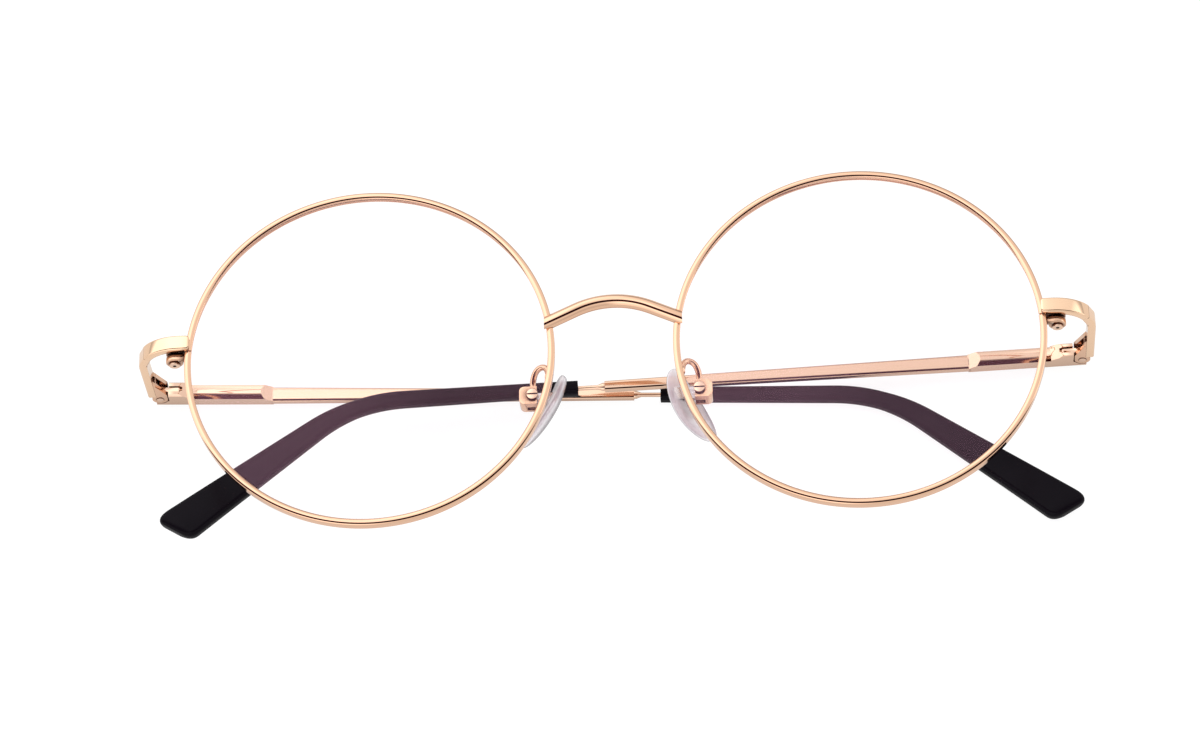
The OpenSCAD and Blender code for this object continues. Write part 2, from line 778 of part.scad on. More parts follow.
// The plate inside the pad and the tab that the pad screw holds.
module insert_shape(turn, spread, grow) {
    plate_x = plate_mid_x - plate_t / 2 - grow;
    at_pad(turn, spread)
        translate([plate_x, -plate_l / 2 - grow, -plate_w / 2 - grow])
            cube([plate_t + 2 * grow, plate_l + 2 * grow, plate_w + 2 * grow]);
    intersection() {
        translate([pad_x - pad_t, bracket_y - tab_half_h - grow, bracket_z - tab_t / 2 - grow])
            cube([bracket_x + tab_end - pad_x + pad_t, 2 * (tab_half_h + grow), tab_t + 2 * grow]);
        at_pad(turn, spread)
            translate([plate_x, -pad_l, -pad_l]) cube([2 * pad_l, 2 * pad_l, 2 * pad_l]);
    }
}

module pad_insert(turn, spread) {
    color(STEEL)
        difference() {
            insert_shape(turn, spread, 0);
            translate([bracket_x, bracket_y, bracket_z - 2])
                cylinder(d = pad_screw_d + 2 * run_gap, h = 4);
        }
}

// A soft teardrop with a domed face to the nose and a flatter back.
module nose_pad(turn, spread) {
    rings = 14;
    sides = 20;
    shape = [for (i = [0 : rings]) let (
            a = 180 * i / rings,
            y = -pad_l / 2 * cos(a),
            w = pad_w / 2 * max(sin(a), 0.04) * (1 - 0.16 * y / (pad_l / 2)),
            t = pad_t / 2 * max(sqrt(sin(a)), 0.2))
        [for (j = [0 : sides - 1]) let (b = 360 * j / sides, side = cos(b))
            [(side < 0 ? 1.15 : 0.85) * t * side, y, w * sin(b)]]];
    color(SILICONE)
        difference() {
            at_pad(turn, spread) skin([for (ring = shape) [for (j = [sides - 1 : -1 : 0]) ring[j]]]);
            insert_shape(turn, spread, core_gap);
        }
}

placed(LEFT) rim();  // rim_left
placed(RIGHT) rim();  // rim_right
placed(LEFT) lens();  // lens_left
placed(RIGHT) lens();  // lens_right
placed() bridge();
placed(LEFT) endpiece();  // endpiece_left
placed(RIGHT) endpiece();  // endpiece_right
placed(LEFT) rim_lock(1);  // rim_lock_upper_left
placed(RIGHT) rim_lock(1);  // rim_lock_upper_right
placed(LEFT) rim_lock(-1);  // rim_lock_lower_left
placed(RIGHT) rim_lock(-1);  // rim_lock_lower_right
placed(LEFT) rim_screw();  // rim_screw_left
placed(RIGHT) rim_screw();  // rim_screw_right
placed(LEFT) hinge_ears();  // hinge_ears_left
placed(RIGHT) hinge_ears();  // hinge_ears_right
placed(LEFT) hinge_screw();  // hinge_screw_left
placed(RIGHT) hinge_screw();  // hinge_screw_right
placed(LEFT) hinge_slider(fold_angle_left);  // hinge_slider_left
placed(RIGHT) hinge_slider(fold_angle_right);  // hinge_slider_right
placed(LEFT) spring(fold_angle_left);  // spring_left
placed(RIGHT) spring(fold_angle_right);  // spring_right
placed(LEFT) spring_stop(fold_angle_left);  // spring_stop_left
placed(RIGHT) spring_stop(fold_angle_right);  // spring_stop_right
placed(LEFT) spring_housing(fold_angle_left);  // spring_housing_left
placed(RIGHT) spring_housing(fold_angle_right);  // spring_housing_right
placed(LEFT) temple(fold_angle_left);  // temple_left
placed(RIGHT) temple(fold_angle_right);  // temple_right
placed(LEFT) ear_sleeve(fold_angle_left);  // ear_sleeve_left
placed(RIGHT) ear_sleeve(fold_angle_right);  // ear_sleeve_right
placed(LEFT) pad_arm();  // pad_arm_left
placed(RIGHT) pad_arm();  // pad_arm_right
placed(LEFT) pad_bracket();  // pad_bracket_left
placed(RIGHT) pad_bracket();  // pad_bracket_right
placed(LEFT) pad_screw();  // pad_screw_left
placed(RIGHT) pad_screw();  // pad_screw_right
placed(LEFT) nose_pad(pad_turn_angle_left, pad_spread_angle_left);  // nose_pad_left
placed(RIGHT) nose_pad(pad_turn_angle_right, pad_spread_angle_right);  // nose_pad_right
placed(LEFT) pad_insert(pad_turn_angle_left, pad_spread_angle_left);  // pad_insert_left
placed(RIGHT) pad_insert(pad_turn_angle_right, pad_spread_angle_right);  // pad_insert_right
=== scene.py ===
# %% [markdown]
# Round wire eyeglasses, folded, lying on a table with the lenses up. The pieces that are turned, milled and
# ground arrive ready made as a fixed frame, and this lesson gives them their finish. The rims, endpieces,
# temples, ear sleeves, pad arms and nose pads are modelled here, because their soft faces are finer than
# plain solids carry. Everything is in metres and in the frame's own place: +X is the wearer's left, +Y
# points to the brow and +Z is the way that the lenses face. The first cell loads the frame and can find
# the box of any of its parts.

# %% Load the frame
import json
import math

import bmesh
import bpy
from mathutils import Matrix, Vector


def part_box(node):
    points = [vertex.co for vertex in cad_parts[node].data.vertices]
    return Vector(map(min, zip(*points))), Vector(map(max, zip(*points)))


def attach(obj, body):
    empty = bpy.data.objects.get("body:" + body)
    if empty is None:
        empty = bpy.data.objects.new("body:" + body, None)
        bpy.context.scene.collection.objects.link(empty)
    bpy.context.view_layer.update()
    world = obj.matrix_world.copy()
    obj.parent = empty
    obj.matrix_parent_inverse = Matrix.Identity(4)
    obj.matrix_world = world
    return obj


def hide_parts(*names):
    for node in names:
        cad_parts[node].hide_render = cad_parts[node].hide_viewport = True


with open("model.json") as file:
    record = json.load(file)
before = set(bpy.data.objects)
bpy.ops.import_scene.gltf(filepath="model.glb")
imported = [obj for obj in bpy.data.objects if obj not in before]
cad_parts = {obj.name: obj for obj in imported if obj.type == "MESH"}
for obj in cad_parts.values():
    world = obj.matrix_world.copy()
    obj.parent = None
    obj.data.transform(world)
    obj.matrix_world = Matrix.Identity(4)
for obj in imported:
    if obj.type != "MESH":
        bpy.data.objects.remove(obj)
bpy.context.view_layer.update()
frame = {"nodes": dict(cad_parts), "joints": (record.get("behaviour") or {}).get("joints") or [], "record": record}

MM = 0.001
SIDES = {"left": 1, "right": -1}
nodes = frame["nodes"]
joints = {joint["name"]: joint for joint in frame["joints"]}
slots = {part["node"]: part["material_slot"] for part in frame["record"]["subparts"]}

# %% [markdown]
# The photograph was taken with a long lens from above and a little below the nose, so the circles of the
# rims turn into slightly squashed ovals. A camera is a place, a direction and a focal length. Here the
# direction comes from three small turns in radians, found by laying the two rims over the picture. The
# place then follows from the distance, because the camera looks along its own -Z axis.

# %% Camera
SENSOR_W = 36.0
PHOTO_W = 1200
FOCAL_PX = 4800
CAMERA_AWAY = 654 * MM
AIM_OFFSET = Vector((1.864, 4.101, 0)) * MM
PITCH, YAW, ROLL = -0.46546, -0.05073, 0.0205

rim_front_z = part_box("rim_left")[1].z
turn = Matrix.Rotation(ROLL, 3, "Z") @ Matrix.Rotation(PITCH, 3, "X") @ Matrix.Rotation(YAW, 3, "Y")
place = turn.transposed() @ (Vector((0, 0, CAMERA_AWAY)) - AIM_OFFSET) + Vector((0, 0, rim_front_z))
camera_data = bpy.data.cameras.new("camera")
camera_data.sensor_width = SENSOR_W
camera_data.lens = SENSOR_W * FOCAL_PX / PHOTO_W
camera = bpy.data.objects.new("camera", camera_data)
camera.matrix_world = Matrix.Translation(place) @ turn.transposed().to_4x4()
bpy.context.scene.collection.objects.link(camera)
bpy.context.scene.camera = camera
print("camera lens", camera_data.lens, "mm, at", [round(x, 3) for x in place])

# %% [markdown]
# A shader is a sum, and sums read best as Python. Value wraps one output of a node, and its operators add
# Math nodes, so 1 - mask or noise * 0.3 can be written as they are. Numbers alone never become nodes. Some
# nodes have several outputs, and beside gives another one of the same node.

# %% Sums of shader values
class Value:
    """One output socket that can stand in a sum."""

    def __init__(self, shader, socket):
        self.shader = shader
        self.socket = socket

    def maths(self, operation, *inputs, clamp=False):
        settings = {"operation": operation, "use_clamp": clamp}
        return self.shader.add("ShaderNodeMath", settings, dict(enumerate(inputs)))

    def __add__(self, other):
        return self.maths("ADD", self, other)

    def __radd__(self, other):
        return self.maths("ADD", other, self)

    def __sub__(self, other):
        return self.maths("SUBTRACT", self, other)

    def __rsub__(self, other):
        return self.maths("SUBTRACT", other, self)

    def __mul__(self, other):
        return self.maths("MULTIPLY", self, other)

    def __rmul__(self, other):
        return self.maths("MULTIPLY", other, self)

    def __truediv__(self, other):
        return self.maths("DIVIDE", self, other)

    def __rtruediv__(self, other):
        return self.maths("DIVIDE", other, self)

    def __pow__(self, other):
        return self.maths("POWER", self, other)

    def clamped(self):
        return self.maths("ADD", self, 0.0, clamp=True)

    def beside(self, name):
        return Value(self.shader, self.socket.node.outputs[name])


SUM_NAMES = ("__add", "__sub", "__mul", "__true", "__pow", "__r")
print("a Value knows", ", ".join(name.strip("_") for name in vars(Value) if name.startswith(SUM_NAMES)))

# %% [markdown]
# A material is a tree of nodes, and so is the light of the world. Shader holds one tree. Its add method
# makes every node: the type comes first, then its settings, then the values or links of its sockets. The
# methods after it are short names for nodes that the finishes below use again and again.

# %% Nodes of one material
class Shader:
    """The node tree of a material or of the world."""

    MIX_FACTOR, MIX_A, MIX_B, MIX_RESULT = 0, 6, 7, 2

    def __init__(self, owner):
        owner.use_nodes = True
        self.tree = owner.node_tree
        self.tree.nodes.clear()

    def add(self, kind, settings, inputs, output=0):
        """Adds a node and returns one of its outputs, if it has any."""
        node = self.tree.nodes.new(kind)
        for name, setting in settings.items():
            if name == "stops":
                self.set_stops(node.color_ramp, setting)
            else:
                setattr(node, name, setting)
        for name, given in inputs.items():
            socket = node.inputs[name]
            if isinstance(given, Value):
                self.tree.links.new(given.socket, socket)
            else:
                socket.default_value = given
        return Value(self, node.outputs[output]) if len(node.outputs) else None

    def set_stops(self, ramp, stops):
        while len(ramp.elements) > 1:
            ramp.elements.remove(ramp.elements[0])
        for index, (position, level) in enumerate(stops):
            stop = ramp.elements[0] if index == 0 else ramp.elements.new(position)
            stop.position = position
            stop.color = level

    def ramp(self, value, stops):
        """A colour for each level of a value, from a few stops."""
        return self.add("ShaderNodeValToRGB", {"stops": stops}, {"Fac": value})

    def mix(self, factor, first, second, blend="MIX"):
        """Two colours mixed by a factor."""
        settings = {"data_type": "RGBA", "blend_type": blend}
        inputs = {self.MIX_FACTOR: factor, self.MIX_A: first, self.MIX_B: second}
        return self.add("ShaderNodeMix", settings, inputs, self.MIX_RESULT)

    def place(self, stretch):
        """The point on the piece, in metres, stretched along each axis."""
        point = self.add("ShaderNodeTexCoord", {}, {}, "Object")
        return self.add("ShaderNodeVectorMath", {"operation": "MULTIPLY"}, {0: point, 1: stretch})

    def noise(self, size, stretch=(1, 1, 1), detail=3.0):
        """Soft noise from 0 to 1 whose blotches are about size metres across."""
        inputs = {"Vector": self.place(stretch), "Scale": 1 / size, "Detail": detail}
        return self.add("ShaderNodeTexNoise", {}, inputs, "Fac")

    def bump(self, height, depth):
        """A normal for a height from 0 to 1 that stands for depth metres."""
        inputs = {"Height": height, "Distance": depth, "Strength": 1.0}
        return self.add("ShaderNodeBump", {}, inputs, "Normal")

    def principled(self, **sockets):
        inputs = {name.replace("_", " "): given for name, given in sockets.items()}
        return self.add("ShaderNodeBsdfPrincipled", {}, inputs)

    def finish(self, surface, kind="ShaderNodeOutputMaterial"):
        self.add(kind, {}, {"Surface": surface})


def colour(red, green, blue):
    return (red, green, blue, 1.0)


def grey(level):
    return colour(level, level, level)


WHITE = grey(1)
print("a Shader offers", ", ".join(name for name in vars(Shader) if name.islower() and name[0] != "_"))

# %% [markdown]
# Polished metal has no look of its own: it shows what is round it. A product photographer hangs a wide
# white cloth over the table and leaves dark gaps, and those gaps draw the thin dark lines along a wire.
# The world here is that tent. Its bands go by the angle from the horizon on the brow's side, over the top,
# to the horizon on the nose's side. A second ramp goes from side to side, because the cloth is brightest
# at the wearer's right and turns that half of the metal almost white. What the camera sees directly or
# through something clear is plain white.

# %% Studio tent
TENT_BANDS = [
    (0.00, grey(0.35)),
    (0.05, grey(0.40)),
    (0.11, grey(0.62)),
    (0.17, grey(1.00)),
    (0.38, grey(1.00)),
    (0.47, grey(0.95)),
    (0.50, grey(0.33)),
    (0.515, colour(0.02, 0.00, 0.00)),
    (0.645, colour(0.02, 0.00, 0.00)),
    (0.67, grey(0.30)),
    (0.70, grey(0.90)),
    (0.74, grey(1.00)),
    (0.83, grey(0.75)),
    (1.00, grey(0.65)),
]
SIDE_LEVELS = [
    (0.00, grey(0.80)),
    (0.30, grey(1.00)),
    (0.43, grey(1.00)),
    (0.53, grey(0.60)),
    (0.86, grey(0.54)),
    (0.92, grey(0.80)),
    (1.00, grey(0.90)),
]
TENT_STRENGTH = 1.9

world = bpy.data.worlds.new("studio tent")
bpy.context.scene.world = world
tent = Shader(world)
direction = tent.add("ShaderNodeTexCoord", {}, {}, "Generated")
sideways = tent.add("ShaderNodeSeparateXYZ", {}, {"Vector": direction}, "X")
brow_to_nose = sideways.maths("ARCTAN2", sideways.beside("Z"), sideways.beside("Y")) / math.pi
bands = tent.ramp(brow_to_nose, TENT_BANDS)
side_level = tent.ramp(sideways * 0.5 + 0.5, SIDE_LEVELS)
lit_bands = tent.mix(1.0, bands, side_level, "MULTIPLY")
seen_in_metal = tent.add("ShaderNodeBackground", {}, {"Color": lit_bands, "Strength": TENT_STRENGTH})
seen_direct = tent.add("ShaderNodeBackground", {}, {"Color": WHITE, "Strength": 1.0})
camera_ray = tent.add("ShaderNodeLightPath", {}, {}, "Is Camera Ray")
direct = (camera_ray + camera_ray.beside("Is Transmission Ray")).clamped()
tent.finish(tent.add("ShaderNodeMixShader", {}, {0: direct, 1: seen_in_metal, 2: seen_direct}),
            "ShaderNodeOutputWorld")
bpy.context.scene.view_settings.view_transform = "Standard"
print("tent has", len(TENT_BANDS), "bands over the table and", len(SIDE_LEVELS), "levels from side to side")

# %% [markdown]
# The table is white paper. Most of what the camera sees of it is a plain white glow, and the rest is lit
# paper, so the shadow stays but is as faint as in a bright catalogue picture. Metal sees a weaker glow, and
# a shadow is painted into it: ambient occlusion darkens it where the object stands close over the paper.
# Clear things see the whole glow.

# %% White table
PAPER_HALF = 1.5
PAPER_DROP = 0.02 * MM
PAPER_GREYS = grey(0.93), grey(0.96)
FIBRE_SIZE = 0.4 * MM
CAMERA_GLOW = 0.93
CAMERA_PAPER = 0.15
METAL_GLOW = 0.90
PAINTED_SHADOW_REACH = 9 * MM
PAINTED_SHADOW_DEPTH = 0.6


def paper_material():
    material = bpy.data.materials.new("white paper")
    shader = Shader(material)
    fibres = shader.mix(shader.noise(FIBRE_SIZE), *PAPER_GREYS)
    paper = shader.add("ShaderNodeBsdfDiffuse", {}, {"Color": fibres})
    glow = shader.add("ShaderNodeEmission", {}, {"Color": WHITE, "Strength": 1.0})
    seen = shader.add("ShaderNodeLightPath", {}, {}, "Is Camera Ray")
    mirrored = seen.beside("Is Glossy Ray") * (1 - seen)
    through = seen.beside("Is Transmission Ray") * (1 - seen) * (1 - mirrored)
    # Painted shadow: ambient occlusion darkens the glow that metal sees close under the object.
    clear_of_painted_shadow = shader.add("ShaderNodeAmbientOcclusion", {}, {"Distance": PAINTED_SHADOW_REACH}, "AO")
    in_metal = clear_of_painted_shadow ** PAINTED_SHADOW_DEPTH * METAL_GLOW
    glow_share = (seen * CAMERA_GLOW + mirrored * in_metal + through).clamped()
    paper_share = (1 - seen * (1 - CAMERA_PAPER) - mirrored - through).clamped()
    lit = shader.add("ShaderNodeMixShader", {}, {0: paper_share, 2: paper})
    glowing = shader.add("ShaderNodeMixShader", {}, {0: glow_share, 2: glow})
    shader.finish(shader.add("ShaderNodeAddShader", {}, {0: lit, 1: glowing}))
    return material


corners = [(x * PAPER_HALF, y * PAPER_HALF, -PAPER_DROP) for x, y in ((-1, -1), (1, -1), (1, 1), (-1, 1))]
table_mesh = bpy.data.meshes.new("table")
table_mesh.from_pydata(corners, [], [(0, 1, 2, 3)])
table = bpy.data.objects.new("table", table_mesh)
table.data.materials.append(paper_material())
bpy.context.scene.collection.objects.link(table)
print("table is", 2 * PAPER_HALF, "m wide")

# %% [markdown]
# One soft lamp hangs over the brow's side and gives the shadow its direction. It is a wide rectangle that
# faces the object. It is hidden from mirrors, or the two lenses would show it as a square.

# %% Soft lamp
LAMP_SIZE = (0.5, 0.35)
LAMP_POWER = 1.6
LAMP_PLACE = Vector((-0.15, 0.35, 0.75))

lamp_data = bpy.data.lights.new("soft lamp", "AREA")
lamp_data.shape = "RECTANGLE"
lamp_data.size, lamp_data.size_y = LAMP_SIZE
lamp_data.energy = LAMP_POWER
lamp = bpy.data.objects.new("soft lamp", lamp_data)
lamp.location = LAMP_PLACE
lamp.rotation_mode = "QUATERNION"
lamp.rotation_quaternion = LAMP_PLACE.to_track_quat("Z", "Y")
lamp.visible_glossy = False
bpy.context.scene.collection.objects.link(lamp)
print("lamp hangs", round(LAMP_PLACE.length, 2), "m away")

# %% [markdown]
# Rose gold plate is a metal, so its colour is the colour of its reflections. Plating is never quite even:
# its sheen changes a little over a few tenths of a millimetre, and the temples, which were drawn and then
# brushed lengthwise, carry fine lines. Those go into roughness and a very low bump. Where small pieces
# meet, each reflection of gold in gold gets redder and darker. That shade is painted into the colour:
# ambient occlusion over less than a millimetre finds those places and mixes in a deep red-brown, so the
# endpieces, the joints and the screws have gold of their own. The inserts and springs are plain drawn steel.

# %% Rose gold
ROSE_GOLD = colour(0.80, 0.495, 0.33), colour(0.83, 0.525, 0.36)
TEMPLE_GOLD = colour(0.79, 0.53, 0.385), colour(0.82, 0.56, 0.415)
YELLOW_GOLD = colour(0.92, 0.62, 0.415), colour(0.94, 0.65, 0.44)
SCREW_GOLD = colour(0.80, 0.54, 0.40), colour(0.86, 0.60, 0.45)
STEEL = colour(0.50, 0.45, 0.46), colour(0.61, 0.56, 0.57)
TONE_OVER_SHEEN = 6
BRUSHED_ALONG = (0.04, 1, 1)
BRUSHED_DEPTH = 0.0002 * MM
# The deep red-brown of painted shade, where small pieces meet.
PAINTED_CREVICE_SHADE = colour(0.07, 0.014, 0.008)
CREVICE_REACH = 0.9 * MM
CREVICE_FALL = 2.8


def metal(name, tones, roughness, blotch, stretch=(1, 1, 1), depth=0.0, with_painted_shade=False):
    """A metal whose colour goes between two tones and whose roughness goes between two levels."""
    material = bpy.data.materials.new(name)
    shader = Shader(material)
    sheen = shader.noise(blotch, stretch)
    tone = shader.mix(shader.noise(TONE_OVER_SHEEN * blotch, stretch), *tones)
    # Painted shade: ambient occlusion mixes a deep red-brown into the colour in crevices and joints.
    if with_painted_shade:
        clear_of_painted_shade = shader.add("ShaderNodeAmbientOcclusion", {}, {"Distance": CREVICE_REACH}, "AO")
        tone = shader.mix(clear_of_painted_shade ** CREVICE_FALL, PAINTED_CREVICE_SHADE, tone)
    smooth, rough = roughness
    sockets = {"Base_Color": tone, "Metallic": 1.0, "Roughness": smooth + sheen * (rough - smooth)}
    if depth:
        sockets["Normal"] = shader.bump(sheen, depth)
    shader.finish(shader.principled(**sockets))
    return material


materials = {
    "gold": metal("polished rose gold", ROSE_GOLD, roughness=(0.04, 0.09), blotch=0.5 * MM),
    "temple_gold": metal("brushed rose gold", TEMPLE_GOLD, roughness=(0.05, 0.10), blotch=0.2 * MM,
                         stretch=BRUSHED_ALONG, depth=BRUSHED_DEPTH),
    "screw": metal("turned screw, painted crevice shade", SCREW_GOLD, roughness=(0.08, 0.16), blotch=0.2 * MM, with_painted_shade=True),
    "steel": metal("drawn steel", STEEL, roughness=(0.2, 0.32), blotch=0.15 * MM),
}
# The endpiece and joint golds, like the screw's, have painted shade in their crevices.
end_gold_painted_shade = metal("polished endpiece gold, painted crevice shade", YELLOW_GOLD, roughness=(0.06, 0.12), blotch=0.5 * MM,
                 with_painted_shade=True)
joint_gold_painted_shade = metal("joint gold, painted crevice shade", ROSE_GOLD, roughness=(0.05, 0.11), blotch=0.4 * MM, with_painted_shade=True)
print("metals:", ", ".join(material.name for material in [*materials.values(), end_gold_painted_shade, joint_gold_painted_shade]))

# %% [markdown]
# The ear sleeves are black acetate, buffed to a soft shine, with the faintest violet cast. The fine haze of
# buffing goes into roughness and a very low bump. Little of the bright tent may show in them, or they turn
# grey, so their mirror is weakened.

# %% Black sleeve
ACETATE = colour(0.004, 0.003, 0.005), colour(0.007, 0.005, 0.008)
ACETATE_CLOUD = 4 * MM
HAZE_SIZE = 0.3 * MM
HAZE_ALONG = (0.3, 1, 1)
HAZE_DEPTH = 0.0004 * MM
BUFFED_ROUGHNESS = 0.18
HAZE_ROUGHNESS = 0.12
ACETATE_SPECULAR = 0.05


def black_acetate():
    material = bpy.data.materials.new("black acetate")
    shader = Shader(material)
    haze = shader.noise(HAZE_SIZE, HAZE_ALONG)
    tone = shader.mix(shader.noise(ACETATE_CLOUD), *ACETATE)
    shader.finish(shader.principled(
        Base_Color=tone, Roughness=BUFFED_ROUGHNESS + haze * HAZE_ROUGHNESS,
        Specular_IOR_Level=ACETATE_SPECULAR, Normal=shader.bump(haze, HAZE_DEPTH)))
    return material


materials["sleeve"] = black_acetate()
print("sleeves are", round(BUFFED_ROUGHNESS, 2), "to", round(BUFFED_ROUGHNESS + HAZE_ROUGHNESS, 2), "rough")

# %% [markdown]
# A spectacle lens with an anti-reflex coat hardly shows on white paper. What gives it away is a violet veil
# over dark things behind it, as on the sleeves in the photograph. A thin share of tinted mirror over a
# clear surface has that look, and it lets shadows through as a real lens does.

# %% Coated lens
LENS_TINTS = colour(0.90, 0.46, 0.62), colour(0.86, 0.46, 0.68)
TINT_CLOUD = 30 * MM
LENS_ROUGHNESS = 0.02
VEIL_SHARE = 0.027
EDGE_VEIL = 0.08
EDGE_BLEND = 0.2
EDGE_FALL = 3


def coated_lens():
    material = bpy.data.materials.new("coated lens")
    shader = Shader(material)
    tint = shader.mix(shader.noise(TINT_CLOUD, detail=0.0), *LENS_TINTS)
    grazing = shader.add("ShaderNodeLayerWeight", {}, {"Blend": EDGE_BLEND}, "Facing")
    veil = (VEIL_SHARE + grazing ** EDGE_FALL * EDGE_VEIL).clamped()
    shader.finish(shader.principled(Base_Color=tint, Metallic=1.0, Roughness=LENS_ROUGHNESS, Alpha=veil))
    return material


materials["lens"] = coated_lens()
print("lens veil is", VEIL_SHARE, "seen flat and up to", round(VEIL_SHARE + EDGE_VEIL, 3), "along its edge")

# %% [markdown]
# Silicone is clear with a milky body. A full glass shader would turn so small a pad dark, because every ray
# that bends inside it ends on the metal close by. A thin milky body that lets about half of what is behind
# it through is closer. The light that a clear pad bends near its outline is painted in by the facing angle:
# first a painted white highlight band, then a painted dark edge for the dark tent seen through the rim.
# A clear coat carries the other highlights.

# %% Clear silicone
MILKY_BODY = colour(0.74, 0.57, 0.65), colour(0.88, 0.74, 0.81)
# The next two colours are a painted highlight and a painted dark edge.
PAINTED_HIGHLIGHT_BAND = colour(0.97, 0.93, 0.97)
PAINTED_DARK_EDGE = colour(0.05, 0.02, 0.035)
CLOUD_SIZE = 1.5 * MM
FACING_BLEND = 0.75
OUTLINE_FROM, OUTLINE_SLOPE, OUTLINE_FALL = 0.80, 5, 1.5
BAND_FROM, BAND_SLOPE = 0.45, 3.5
BODY_ALPHA, CLOUD_ALPHA, BAND_ALPHA, OUTLINE_ALPHA = 0.42, 0.10, 0.22, 0.26
SILICONE_IOR = 1.41
SILICONE_SPECULAR = 0.15
SILICONE_ROUGHNESS = 0.12
COAT_ROUGHNESS = 0.03


def clear_silicone():
    material = bpy.data.materials.new("clear silicone")
    shader = Shader(material)
    clouds = shader.noise(CLOUD_SIZE)
    facing = shader.add("ShaderNodeLayerWeight", {}, {"Blend": FACING_BLEND}, "Facing")
    # Painted dark edge along the outline, and inside it a painted white highlight band, both by facing angle.
    outline = ((facing - OUTLINE_FROM) * OUTLINE_SLOPE).clamped() ** OUTLINE_FALL
    band = ((facing - BAND_FROM) * BAND_SLOPE).clamped()
    with_painted_highlight = shader.mix(band, shader.mix(clouds, *MILKY_BODY), PAINTED_HIGHLIGHT_BAND)
    tone = shader.mix(outline, with_painted_highlight, PAINTED_DARK_EDGE)
    cover = BODY_ALPHA + clouds * CLOUD_ALPHA + band * BAND_ALPHA + outline * OUTLINE_ALPHA
    shader.finish(shader.principled(
        Base_Color=tone, Roughness=SILICONE_ROUGHNESS, IOR=SILICONE_IOR, Specular_IOR_Level=SILICONE_SPECULAR,
        Coat_Weight=(1 - outline).clamped(), Coat_Roughness=COAT_ROUGHNESS, Alpha=cover.clamped()))
    return material


materials["pad"] = clear_silicone()
print("materials are ready for the slots", ", ".join(materials))

# %% [markdown]
# Each node of the frame names the slot that its finish belongs to, so one table from slot to material
# dresses them all. Real edges are never razor sharp. The frame's meshes have their points split along
# every edge, so a weld joins them first, a bevel rounds the edges by about a tenth of a millimetre, and
# weighted normals keep the flats flat.

# %% Dress the frame's nodes
JOINT_PIECES = ("rim_lock", "hinge_ears", "pad_bracket")
WELD_REACH = 0.001 * MM
EDGE_ANGLE = math.radians(28)
EDGE_SEGMENTS = 3
EDGE_WIDTHS = {
    "spring_housing": 0.14, "rim_lock": 0.16, "rim_screw": 0.12, "hinge_ears": 0.06, "hinge_screw": 0.12,
    "hinge_slider": 0.16, "pad_bracket": 0.22, "pad_screw": 0.14, "pad_insert": 0.05, "bridge": 0.04}


def soften(obj, width):
    """Rounds the sharp edges of a node a little, without touching its own mesh."""
    obj.modifiers.new("join split points", "WELD").merge_threshold = WELD_REACH
    bevel = obj.modifiers.new("round edges", "BEVEL")
    bevel.width = width * MM
    bevel.segments = EDGE_SEGMENTS
    bevel.limit_method = "ANGLE"
    bevel.angle_limit = EDGE_ANGLE
    bevel.use_clamp_overlap = True
    obj.modifiers.new("flat faces stay flat", "WEIGHTED_NORMAL").keep_sharp = False


softened = []
for name, obj in nodes.items():
    obj.data.materials.clear()
    obj.data.materials.append(joint_gold_painted_shade if name.startswith(JOINT_PIECES) else materials[slots[name]])
    for stem, width in EDGE_WIDTHS.items():
        if name.startswith(stem):
            soften(obj, width)
            softened.append(name)
print("dressed", len(nodes), "nodes and softened the edges of", len(softened))

# %% [markdown]
# The rims, endpieces, temples, sleeves, arms and pads are all skins: rings of points that follow a line,
# joined ring to ring. One function makes such a skin, with its ends closed, and gives it to a body and a
# slot. Pieces of the front give their points in millimetres for the wearer's left, and a second function
# places them and mirrors them for the right.

# %% Skins through rings
SHARP_ANGLE = math.radians(38)


def outwards(mesh):
    """Turns all faces to the outside, since one side of the object is a mirror image."""
    work = bmesh.new()
    work.from_mesh(mesh)
    bmesh.ops.recalc_face_normals(work, faces=work.faces)
    work.to_mesh(mesh)
    work.free()


def skin(name, rings, slot, body, replaced):
    """A closed smooth mesh through rings of points, riding on a body in the place of a node."""
    count = len(rings[0])
    points = [point for ring in rings for point in ring]
    faces = [tuple(range(count))[::-1]]
    for i in range(len(rings) - 1):
        for j in range(count):
            k = (j + 1) % count
            faces.append((i * count + j, i * count + k, (i + 1) * count + k, (i + 1) * count + j))
    faces.append(tuple(range((len(rings) - 1) * count, len(rings) * count)))
    mesh = bpy.data.meshes.new(name)
    mesh.from_pydata(points, [], faces)
    mesh.polygons.foreach_set("use_smooth", [len(face) == 4 for face in faces])
    mesh.validate()
    mesh.set_sharp_from_angle(angle=SHARP_ANGLE)
    outwards(mesh)
    mesh.materials.append(materials[slot])
    obj = bpy.data.objects.new(name, mesh)
    bpy.context.scene.collection.objects.link(obj)
    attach(obj, body)
    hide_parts(replaced)
    print(name, "has", len(mesh.polygons), "faces")
    return obj


def on_front(side_name, x, y, z):
    """A place in mm from the front's middle, with z from the rims' front face, mirrored for the right."""
    return Vector((SIDES[side_name] * x, y, z)) * MM + Vector((0, 0, rim_front_z))


print("edges of a skin stay sharp over", round(math.degrees(SHARP_ANGLE)), "degrees")

# %% [markdown]
# Each rim is one drawn wire, bent into a ring and cut at its lock. Its section carries all the character:
# a low dome in front and behind, tight corners, and a V groove inside that grips the lens, with the wall
# behind the groove set back so that the lens springs in from behind. The dome is what draws one dark line
# along the wire, because a dark gap of the tent lands on one part of its curve.

# %% Section of a rim
RIM_IN_R = 24.48
RIM_OUT_R = 25.43
RIM_DEPTH = 1.5
DOME_ANGLE = 36
DOME_CORNER_R = 0.12
DOME_STEPS = 12
CORNER_STEPS = 4
GROOVE_HALF = 0.51
GROOVE_DEPTH = 0.5
BACK_SETBACK = 0.22


